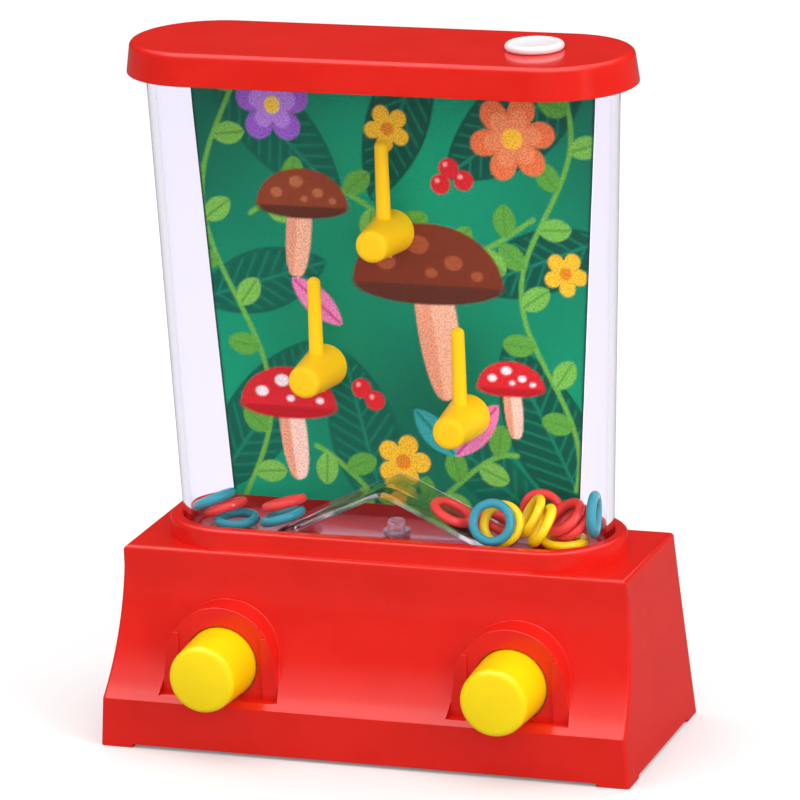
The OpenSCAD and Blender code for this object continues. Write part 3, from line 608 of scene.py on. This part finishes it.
def lathe(name, profile, middle, axis, node, material, cols=96, closed=False):
    """p(t, v) = middle + axis y(t) + radius(t) (cos v e1 + sin v e2), with a radius of 0.01 mm at least."""
    p = np.array(profile, float)
    axis = np.array(axis, float)
    e1 = np.array([1.0, 0, 0])
    e2 = np.cross(axis, e1)
    v = np.linspace(0, 2 * np.pi, cols, endpoint=False)[None, :, None]
    rim = np.cos(v) * e1 + np.sin(v) * e2
    points = np.array(middle, float) + p[:, None, 1:] * axis + np.maximum(p[:, None, :1], 0.01) * rim
    return grid_mesh(name, points, node, material, close_v=closed, caps=() if closed else (0, -1))


print("an arc of 90 degrees has", len(arc(0, 0, 1, 0, 90)), "points")

# %% [markdown]
# ## Push buttons
#
# A button is a yellow cup for the thumb. Its edge is wide and soft, the side tapers for the mould, and a flange
# behind the guide hole keeps it in. A cylinder with a bevel would give all that but the crown of the face. It is
# only half a millimetre, hardly seen as a shape, but it spreads the highlight over the face.

# %% Turn the buttons
FACE_Y, BACK_Y = (corner[1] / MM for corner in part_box("button_left"))
REACH = BACK_Y - FACE_Y
BUTTON_X, BUTTON_Z = 32.8, 19.5
SIDES_OF_TOY = (("left", -BUTTON_X), ("right", BUTTON_X))
CROWN_R, CROWN = 5.75, 0.5
BUTTON = (
    # crowned face, soft edge, tapered side
    [(rho, CROWN * (rho / CROWN_R) ** 2) for rho in np.linspace(0, CROWN_R, 8)]
    + arc(5.79, 2.17, 1.66, -80, -3, 12)[1:] + [(7.99, REACH - 3.85), (7.99, REACH - 1.85)]
    # flange
    + arc(9.05, REACH - 1.55, 0.25, -90, 0, 4) + arc(9.05, REACH - 0.85, 0.25, 0, 90, 4)
    # hollow inside, and the stem that pushes the bellows
    + [(5.95, REACH - 0.6), (5.95, 2.4)] + arc(5.35, 2.4, 0.6, 0, -90, 4)
    + [(3.0, 1.8), (3.0, REACH - 0.3), (2.7, REACH), (0, REACH)])
for side, x in SIDES_OF_TOY:
    lathe("button_" + side + "_moulded", BUTTON, (x, FACE_Y, BUTTON_Z), (0, 1, 0), "button_" + side, yellow_abs,
          cols=128)
print("the buttons reach", round(REACH, 2), "mm")

# %% [markdown]
# ## Fill plug
#
# A white plug closes the hole for the water: a soft disc with a rounded rim, on a hollow stem that grips its seat.
# Such a disc sinks a little as it cools. A flat top would look like a sticker, so it is dished by a quarter of a
# millimetre, which gives a bright rim round a calmer middle.

# %% Turn the plug
PLUG = (
    # dished top, rounded rim
    [(0, 1.45), (3.9, 1.47), (4.5, 1.6), (4.9, 1.69), (5.2, 1.7)] + arc(5.45, 0.85, 0.84, 88, -88, 14)
    # underside, and the stem with its hollow
    + [(5.2, 0.01), (4.0, 0.01), (4.0, -4.3), (3.8, -4.6), (3.3, -4.6), (3.1, -4.4), (3.1, 0.0), (0, 0.0)])
lathe("fill_plug_moulded", PLUG, (34.4, TANK_Y, 152.1), (0, 0, 1), "fill_plug", white_polyethylene)

# %% [markdown]
# ## Rubber bellows
#
# Behind each button a rubber bellows works the pump. Its three folds flatten as the button goes in, and its flange
# stays in the clamp. A shape key or an armature could flatten it. Here folds and flange are two pieces, and the
# folds get a mesh of their own.

# %% Turn the folds and the flanges
FOLD_MM, FOLD_R, FOLD_DEEP, RUBBER = 3.4, 6.65, 0.95, 0.96   # pitch, middle radius, depth each way, thickness
BELLOWS_Y = -17.5 + Y0
fold_y = np.linspace(0.8, 11.0, 73)
fold_r = FOLD_R - FOLD_DEEP * np.cos(2 * np.pi * (fold_y - 0.8) / FOLD_MM)
FOLDS = ([(0, 0), (5.4, 0)] + arc(5.4, 0.3, 0.3, -90, 0, 4) + list(zip(fold_r, fold_y))
         + list(zip(fold_r[::-1] - RUBBER, fold_y[::-1])) + [(4.6, 0.8), (0, 0.8)])
FLANGE = ([(4.75, 11.0), (10.8, 11.0)] + arc(10.8, 11.2, 0.2, -90, 0, 4) + arc(10.8, 11.6, 0.2, 0, 90, 4)
          + [(4.75, 11.8)])
for side, x in SIDES_OF_TOY:
    at = dict(middle=(x, BELLOWS_Y, BUTTON_Z), axis=(0, 1, 0), node="bellows_" + side, material=bellows_rubber)
    folds = lathe("bellows_" + side + "_folds", FOLDS, **at)
    lathe("bellows_" + side + "_flange", FLANGE, closed=True, **at)
    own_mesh(folds)
print("each fold's profile has", len(FOLDS), "points")

# %% [markdown]
# ## Return springs
#
# A steel spring round each stem pushes its button back. It is a round wire along a helix. A curve with a bevel makes
# that too, but its ends and its twist are harder to hold to a tenth of a millimetre than a circle carried along the
# path by formula.


# %% Carry a circle along a helix
def coil_rows(x, start, end, r=4.0, wire=0.4, turns=9, per_turn=48, sides=12):
    """c(t) = (r cos 2 pi n t, y0 + (y1 - y0) t, r sin 2 pi n t), with the wire's circle across the tangent."""
    t = np.linspace(0, 1, turns * per_turn + 1)
    a = 2 * np.pi * turns * t
    c = np.stack([r * np.cos(a), (end - start) * t, r * np.sin(a)], -1)
    tangent = np.gradient(c, axis=0)
    tangent /= np.linalg.norm(tangent, axis=1, keepdims=True)
    out = np.stack([np.cos(a), 0 * a, np.sin(a)], -1)
    up = np.cross(tangent, out)
    v = np.linspace(0, 2 * np.pi, sides, endpoint=False)[None, :, None]
    ring = wire * (np.cos(v) * out[:, None] + np.sin(v) * up[:, None])
    return c[:, None] + ring + (x, start + Y0, BUTTON_Z)


END_MM = 0.45   # the wire's middle stays this far inside the node's ends
for side, x in SIDES_OF_TOY:
    lo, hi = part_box("spring_" + side)
    rows = coil_rows(x, lo[1] / MM - Y0 + END_MM, hi[1] / MM - Y0 - END_MM)
    coil = grid_mesh("spring_" + side + "_wire", rows, "spring_" + side, spring_steel, caps=(0, -1))
    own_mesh(coil)

# %% [markdown]
# ## The printed card
#
# Behind the pegs stands a thin card with a print that fills the tank's back. An image texture would be the usual
# way, but this file reads no image, so the print is worked out: one colour for each point of a fine grid, laid on
# in layers as a printer lays inks. Each motif is a formula of the place on the card, in mm from the middle of its
# lower edge: a distance to the motif's outline, negative inside, that makes a soft mask.

# %% The card's grid and its inks
CARD_HALF, CARD_FLARE, CARD_TALL = 39.6, 6.7, 101.4   # half width at the foot, how much it grows, height
GRID_U, GRID_V = 281, 336
u, v = np.meshgrid(np.linspace(-1, 1, GRID_U), np.linspace(0, 1, GRID_V))
X = u * (CARD_HALF + CARD_FLARE * v)
Z = CARD_TALL * v
ink = np.zeros(X.shape + (3,))


def lay(distance, colour, softness=0.4):
    """Prints the colour with a mask of 0.5 - distance / softness, clamped: an edge that is softness mm wide."""
    mask = np.clip(0.5 - distance / softness, 0, 1)[..., None]
    ink[:] = ink * (1 - mask) + np.array(linear(colour)[:3]) * mask


print("the card has", X.size, "points, one every", round(CARD_TALL / (GRID_V - 1), 2), "mm up")

# %% [markdown]
# ### Ground and dark leaves
#
# A print starts with its largest areas. The green ground shades slowly from light to dark by two long waves, and
# big leaves with hatched ribs, close to the ground in tone, make it deep without drawing the eye.

# %% Print the ground and the dark leaves
LIGHT_GREEN, DEEP_GREEN = (np.array(linear(green)[:3]) for green in ("#0AA06E", "#0B6C4D"))
HATCH_MM, HATCH_LEAN = 3.2, 0.9   # spacing of a leaf's side ribs, and how far they lean


def leaf(x0, z0, x1, z1, width, lobe=0.7):
    """|b| - width sin(pi a)^lobe across the line from foot to tip, where a goes from 0 to 1. Gives that distance and
    the places along and across the line in mm."""
    dx, dz = x1 - x0, z1 - z0
    n = math.hypot(dx, dz)
    a = ((X - x0) * dx + (Z - z0) * dz) / n ** 2
    b = ((Z - z0) * dx - (X - x0) * dz) / n
    body = np.abs(b) - width * np.sin(np.pi * np.clip(a, 0, 1)) ** lobe
    return np.where((a < 0) | (a > 1), 9.0, body), a * n, b


shade = (0.5 + 0.5 * np.sin(X / 17 + 1.3) * np.cos(Z / 23 - 0.6))[..., None]   # waves of 107 and 145 mm
ink[:] = LIGHT_GREEN * (1 - shade) + DEEP_GREEN * shade
DARK_LEAVES = [(-45, 0, -20, 36, 8), (43, -2, 24, 38, 9), (-42, 99, -12, 68, 8), (44, 99, 12, 74, 9),
               (-46, 44, -16, 54, 7), (47, 62, 17, 50, 7), (-4, -4, -13, 34, 8), (8, 104, -5, 68, 7),
               (34, -4, 6, 20, 6)]
for k, foot_to_tip in enumerate(DARK_LEAVES):
    d, along, across = leaf(*foot_to_tip)
    lay(d, "#06543D" if k % 2 else "#076047")
    hatch = np.abs((along - HATCH_LEAN * np.abs(across)) % HATCH_MM - HATCH_MM / 2) - 0.35
    lay(np.maximum(np.maximum(hatch, d + 0.8), 0.5 - np.abs(across)), "#0F7B58")
    lay(np.maximum(np.abs(across) - 0.35, d + 0.6), "#12815E")
print(len(DARK_LEAVES), "dark leaves on the ground")

# %% [markdown]
# ### Vines
#
# Lighter vines climb at both sides and wind across. A curve object could be drawn for each, but it would not join
# the print. So a vine is a wave of points with a brush drawn along it, and round leaves stand on it left and right
# in turn, each set by the direction of the vine where it grows.

# %% Print the vines and their round leaves
VINE_MM, LEAF_MM, LEAF_HALF = 1.1, 6.4, 2.5   # stroke width, leaf length, half a leaf's width


def stroke(xs, zs, width):
    """Distance to the nearest of the points (xs, zs), less half the width."""
    d = np.full(X.shape, 99.0)
    for x, z in zip(xs, zs):
        np.minimum(d, np.hypot(X - x, Z - z), out=d)
    return d - width / 2


t = np.linspace(0, 1, 160)
VINES = [(-37 + 7 * np.sin(7 * t), 100 * t), (34 + 6 * np.sin(8 * t + 1), 6 + 92 * t),
         (-33 + 64 * t, 64 + 7 * np.sin(6.5 * t)), (-20 + 46 * t, 6 + 7 * np.sin(6 * t + 2))]
for xs, zs in VINES:
    lay(stroke(xs, zs, VINE_MM), "#6AB343")
    for k in range(9, 156, 15):
        side = 1 if (k // 15) % 2 else -1
        dx, dz = xs[k + 2] - xs[k - 2], zs[k + 2] - zs[k - 2]
        n = math.hypot(dx, dz)
        tip = (xs[k] + (dx * 0.55 - side * dz) / n * LEAF_MM, zs[k] + (dz * 0.55 + side * dx) / n * LEAF_MM)
        d, along, across = leaf(xs[k], zs[k], *tip, LEAF_HALF, 0.55)
        lay(d, "#78BC4C" if k % 2 else "#5DA53B")
        lay(np.maximum(np.abs(across) - 0.2, d + 0.7), "#509337")
print(len(VINES), "vines")

# %% [markdown]
# ### Mushrooms
#
# Four generic mushrooms carry the picture. A cap is the upper half of an ellipse, with a flat ellipse of gills
# below it and a stem that is a blunt leaf shape; one side of the stem is darker, and pale spots sit on the cap. All
# sizes are shares of the cap's half width, so one function draws a large and a small one alike.

# %% Print the mushrooms
SPOTS = ((-0.55, 0.28, 0.13), (-0.12, 0.52, 0.15), (0.35, 0.3, 0.12), (0.05, 0.16, 0.08), (0.66, 0.14, 0.08))


def ellipse(cx, cz, rx, rz, turn=0.0):
    """(sqrt((a / rx)^2 + (b / rz)^2) - 1) min(rx, rz), with a and b along the turned axes."""
    c, s = math.cos(math.radians(turn)), math.sin(math.radians(turn))
    a, b = (X - cx) * c + (Z - cz) * s, (Z - cz) * c - (X - cx) * s
    return (np.hypot(a / rx, b / rz) - 1) * min(rx, rz)


def mushroom(cx, cz, r, lean, cap, spot, stem="#F2B78F", gills="#5A2A18"):
    """A stem from cz down, gills as ellipse(r, 0.26 r), the half of ellipse(r, 0.8 r) above cz, and its spots."""
    d, along, across = leaf(cx + lean, cz - 1.5 * r, cx, cz + 0.4 * r, 0.27 * r, 0.3)
    lay(d, stem)
    lay(np.maximum(d, 0.06 * r - across), "#E79F78")
    lay(ellipse(cx, cz, r, 0.26 * r), gills)
    lay(np.maximum(ellipse(cx, cz, r, 0.8 * r), cz - Z), cap)
    for a, b, w in SPOTS:
        lay(ellipse(cx + a * r, cz + b * r, w * r, 0.8 * w * r), spot)


RED_CAP = ("#D8242A", "#FBEFE6", "#F7CFB4", "#B9161F")
mushroom(7, 50, 17, 4, "#7A3419", "#A5552F")
mushroom(-21, 66, 10.5, -2, "#8A3F1F", "#B56A3E")
mushroom(-26, 21, 11, 2, *RED_CAP)
mushroom(25, 28, 7.5, 1, *RED_CAP)
print("4 mushrooms with", len(SPOTS), "spots each")

# %% [markdown]
# ### Blossoms, berries and coloured leaves
#
# Small bright things go on last, over everything else. A blossom's radius swings with the angle, so that it has
# lobes; a second, smaller and lighter one on top gives it depth. Last, a dark line down both sides is painted shade
# for the card's edges, which show dark.


# %% Print the bright motifs
def petals(cx, cz, r, count, turn=0.0, deep=0.5):
    """rho - r (1 - deep + deep |cos(n (phi - turn) / 2)|^0.6)."""
    phi = np.arctan2(Z - cz, X - cx) - math.radians(turn)
    return np.hypot(X - cx, Z - cz) - r * (1 - deep + deep * np.abs(np.cos(count * phi / 2)) ** 0.6)


for x, z, r, count, turn, outer, inner, heart_r, heart in (
        (27, 83, 9.5, 6, 10, "#EE7A44", "#F4925A", 2.3, "#FFC93A"),
        (-27, 88, 8.5, 5, 18, "#9A62C4", "#B98ADB", 1.8, "#F5D34B")):
    lay(petals(x, z, r, count, turn), outer)
    lay(petals(x, z, r - 3, count, turn), inner)
    lay(ellipse(x, z, heart_r, heart_r), heart)
for x, z, r in ((0, 10, 6.2), (-1, 84, 5.2), (38, 54, 5)):
    lay(petals(x, z, r, 5, 30 * x), "#F4C22C")
    lay(ellipse(x, z, 0.28 * r, 0.28 * r), "#E58A1F")
for x, z in ((12.5, 76), (15.8, 73.4), (10.6, 72.4), (-9, 26), (-6, 23.4)):   # berries, each with a glint
    lay(ellipse(x, z, 2.2, 2.2), "#D8242A")
    lay(ellipse(x - 0.7, z + 0.8, 0.5, 0.5), "#F6A59B")
PINK, TEAL = ("#EC86B4", "#C9477F"), ("#38AFA6", "#1F8079")   # leaf and its rib
for foot_to_tip, (body, rib) in (((12, 12, 22, 24, 3.2), PINK), ((12, 12, 3, 22, 3.0), TEAL),
                                 ((-13, 40, -24, 50, 3.0), PINK)):
    d, along, across = leaf(*foot_to_tip)
    lay(d, body)
    lay(np.maximum(np.abs(across) - 0.3, d + 0.5), rib)
SIDE_SHADE = 0.45   # mm
# Painted shade: a dark line down both sides for the card's edges, which show dark.
lay((1 - np.abs(u)) * (CARD_HALF + CARD_FLARE * v) - SIDE_SHADE, "#0A3B33")
print("inks go from", ink.min().round(3), "to", ink.max().round(3))

# %% [markdown]
# ## Printed card as a material
#
# The card is pressed board with printed inks under a thin varnish, so it has colour but hardly any highlight. Dots of
# a litho print are about 0.15 mm apart and would vanish at this size, and real dots drawn one by one would be a
# million. So a speckle of 0.36 mm stands in for them, and makes each ink up to a third lighter or darker.

# %% Varnished print and bare board
SPECKLE_MM, SPECKLE = 0.357, (0.68, 1.32)
printed, add = new_material("litho_printed_card")
coat = add("ShaderNodeAttribute", {"attribute_name": "print"})
where = add("ShaderNodeTexCoord").outputs["Object"]
grain = add("ShaderNodeTexNoise", Vector=where, Scale=cells(SPECKLE_MM), Detail=1.0, Roughness=0.55)
speckle = add("ShaderNodeMapRange", Value=grain, From_Min=CALM, From_Max=BUSY, To_Min=SPECKLE[0], To_Max=SPECKLE[1])
tone = add("ShaderNodeMix", {"data_type": "RGBA", "blend_type": "MULTIPLY"}, Factor=1.0, A=coat, B=speckle)
polish = add("ShaderNodeMapRange", Value=grain, From_Min=CALM, From_Max=BUSY, To_Min=0.35, To_Max=0.45)
sheet = add("ShaderNodeBsdfPrincipled", Base_Color=tone, Roughness=polish, Specular_IOR_Level=0.08)
add("ShaderNodeOutputMaterial", Surface=sheet)
bare_board = moulded_plastic("bare_white_board", "#F4F5F4", "#EAECEA", (0.4, 0.5))   # smooth and dull, as pressed
print("card materials:", printed.name, bare_board.name)

# %% [markdown]
# ## The card's mesh
#
# The print is kept in a colour attribute, with one colour for each point, so the mesh's front is the print's own
# grid. The back needs no grid: it is one polygon, joined to the front by a strip of edge faces.

# %% Make the card
CARD_FRONT, CARD_FOOT, CARD_THICK = 8.85 + Y0, 48.2, 1.0


def card():
    """Front points are (X, front, Z + foot). The rim's points, moved back by the thickness, close the card."""
    rows, cols = X.shape
    front = np.stack([X, np.full(X.shape, CARD_FRONT), Z + CARD_FOOT], -1).reshape(-1, 3)
    index = np.arange(rows * cols).reshape(rows, cols)
    quads = np.stack([index[:-1, :-1], index[:-1, 1:], index[1:, 1:], index[1:, :-1]], -1).reshape(-1, 4)
    rim = np.concatenate([index[0, :-1], index[:-1, -1], index[-1, :0:-1], index[:0:-1, 0]])
    back = np.arange(len(rim)) + rows * cols
    sides = np.stack([rim, back, np.roll(back, -1), np.roll(rim, -1)], -1)
    points = np.vstack([front, front[rim] + (0, CARD_THICK, 0)]) * MM
    mesh = bpy.data.meshes.new("backdrop_card")
    mesh.from_pydata(points.tolist(), [], quads.tolist() + sides.tolist() + [back[::-1].tolist()])
    piece("backdrop_card", mesh, "backdrop", printed)
    mesh.materials.append(bare_board)
    slots = np.zeros(len(mesh.polygons), np.int32)
    slots[len(quads):] = 1
    mesh.polygons.foreach_set("material_index", slots)
    colours = np.ones((len(points), 4), np.float32)
    colours[:rows * cols, :3] = ink.reshape(-1, 3)
    mesh.color_attributes.new("print", "FLOAT_COLOR", "POINT").data.foreach_set("color", colours.ravel())
    print("the card has", len(quads), "printed faces and", len(sides) + 1, "bare ones")


card()

# %% [markdown]
# ## Camera
#
# A picture can only be compared with the photograph from the same place. The camera's place, turn and lens were
# solved from the outline of base, collar and cap, and are written as found; trying by eye would take far longer. It
# is a long lens, over a metre away, so the toy shows little perspective.

# %% The camera at the photograph's angle
scene = bpy.context.scene
camera = bpy.data.objects.new("camera", bpy.data.cameras.new("camera"))
scene.collection.objects.link(camera)
camera.rotation_mode = "YXZ"
camera.rotation_euler = (1.28821, 0.12771, 0.21237)
camera.location = (0.389803, -1.082931 + Y0 * MM, 0.405274)
camera.data.lens = 251.26
camera.data.shift_x = 0.01363
camera.data.shift_y = 0.00265
camera.data.clip_end = 50
scene.camera = camera
print("the camera is", round(camera.location.length, 3), "m away")

# %% [markdown]
# ## Lamps
#
# The photograph has soft light from above, a glow along the hollow front, and a brighter right side. One world colour
# would light it flatly. So a large softbox overhead gives the first two, a tall narrow one at the right the third,
# and a weak one in front fills the shade. The last two stay out of mirror images, where no panel shows.


# %% Three softboxes
def softbox(name, where, size, power, mirrored):
    """A rectangle of size (width, height) at where, which faces the middle of the toy; power in watts. mirrored says
    whether it shows in glossy faces."""
    data = bpy.data.lights.new(name, "AREA")
    data.shape = "RECTANGLE"
    data.size, data.size_y = size
    data.energy = power
    lamp = bpy.data.objects.new(name, data)
    lamp.location = where
    lamp.rotation_euler = (Vector((0, 0, 0.08)) - Vector(where)).to_track_quat("-Z", "Y").to_euler()
    lamp.visible_glossy = mirrored
    scene.collection.objects.link(lamp)
    print(name, "of", power, "W")


softbox("overhead_softbox", (-0.05, -0.27, 1.25), (1.7, 1.0), 6.0, True)
softbox("right_strip", (1.0, -0.5, 0.5), (0.25, 1.1), 5.5, False)
softbox("front_fill", (0.25, -1.5, 0.4), (0.9, 0.6), 0.6, False)

# %% [markdown]
# ## White room
#
# World and floor have to look white behind the toy, but a white room all round would fill every glossy face with
# grey. Light Path tells what a ray is doing, so one strength serves the eye, another a mirror image, and a third
# lights the surfaces. In a mirror image the world is dark at the horizon and bright overhead, by a smooth step of
# height, as a studio with a lit ceiling is: this gives the plastic its gradients.


# %% The world, by kind of ray
def by_ray(add, seen, mirror, lit, sheen=None, inside=None):
    """seen for a ray from the camera, straight or through clear plastic; mirror, or the sheen socket, for a mirror
    image; lit for light on a surface, and inside for light on one within the tank. A reflection inside the tank's
    wall takes 0.85 seen + 0.15 mirror. All but lit hold only before the first diffuse bounce."""
    path = add("ShaderNodeLightPath").outputs
    fresh = add("ShaderNodeMath", {"operation": "LESS_THAN"}, _0=path["Diffuse Depth"], _1=0.5)
    shiny = add("ShaderNodeMath", {"operation": "GREATER_THAN"}, _0=path["Glossy Depth"], _1=0.5)
    straight = add("ShaderNodeMath", {"operation": "MAXIMUM"}, _0=path["Is Camera Ray"],
                   _1=path["Is Transmission Ray"])
    shown = add("ShaderNodeMath", {"operation": "MULTIPLY"}, _0=straight, _1=fresh)
    mirrored = add("ShaderNodeMath", {"operation": "MULTIPLY"}, _0=path["Is Glossy Ray"], _1=fresh)
    view = add("ShaderNodeMix", Factor=shiny, A=seen, B=0.85 * seen + 0.15 * mirror)
    light = add("ShaderNodeMix", Factor=path["Is Transmission Ray"], A=lit, B=inside or lit)
    other = add("ShaderNodeMix", Factor=mirrored, A=light, B=sheen or mirror)
    return add("ShaderNodeMix", Factor=shown, A=other, B=view)


HORIZON, CEILING = (0.45, 0.04), (0.95, 1.7)   # (height in Generated, strength) where the sheen starts and ends
scene.world = bpy.data.worlds.new("white_room")
add = adder(scene.world)
height = add("ShaderNodeSeparateXYZ", Vector=add("ShaderNodeTexCoord").outputs["Generated"]).outputs["Z"]
sheen = add("ShaderNodeMapRange", {"interpolation_type": "SMOOTHSTEP"}, Value=height, From_Min=HORIZON[0],
            From_Max=CEILING[0], To_Min=HORIZON[1], To_Max=CEILING[1])
room = add("ShaderNodeBackground", Color=(1, 1, 1, 1),
           Strength=by_ray(add, seen=1.0, mirror=0.08, lit=1.0, sheen=sheen, inside=CEILING[1]))
add("ShaderNodeOutputWorld", Surface=room)
print("the room's mirror image goes from", HORIZON[1], "to", CEILING[1])

# %% [markdown]
# ## Floor
#
# The toy stands on white paper. Without a floor it would float, and with a plain white one its shadow would drown in
# light. So the paper is a pale grey that the light brings to white, with a little glow that only the camera sees. It
# lies a tenth of a millimetre below the feet, because two faces in one plane flicker.

# %% Lay the paper
FLOOR_HALF, FLOOR_Z = 3, -0.1 * MM   # metres
paper_mesh = bpy.data.meshes.new("floor")
paper_mesh.from_pydata([(x * FLOOR_HALF, y * FLOOR_HALF, FLOOR_Z) for x, y in ((-1, -1), (1, -1), (1, 1), (-1, 1))],
                       [], [(0, 1, 2, 3)])
floor = bpy.data.objects.new("floor", paper_mesh)
scene.collection.objects.link(floor)
paper, add = new_material("white_paper")
matt = add("ShaderNodeBsdfDiffuse", Color=by_ray(add, seen=0.73, mirror=0.15, lit=0.4))
glow = add("ShaderNodeEmission", Strength=by_ray(add, seen=0.15, mirror=0.0, lit=0.0))
both = add("ShaderNodeAddShader", _0=matt, _1=glow)
add("ShaderNodeOutputMaterial", Surface=both)
paper_mesh.materials.append(paper)
print("the floor is", 2 * FLOOR_HALF, "m wide")

# %% [markdown]
# ## The view transform
#
# The view transform is Standard, so a colour renders about as it is written.

# %% Set the view transform
scene.view_settings.view_transform = "Standard"
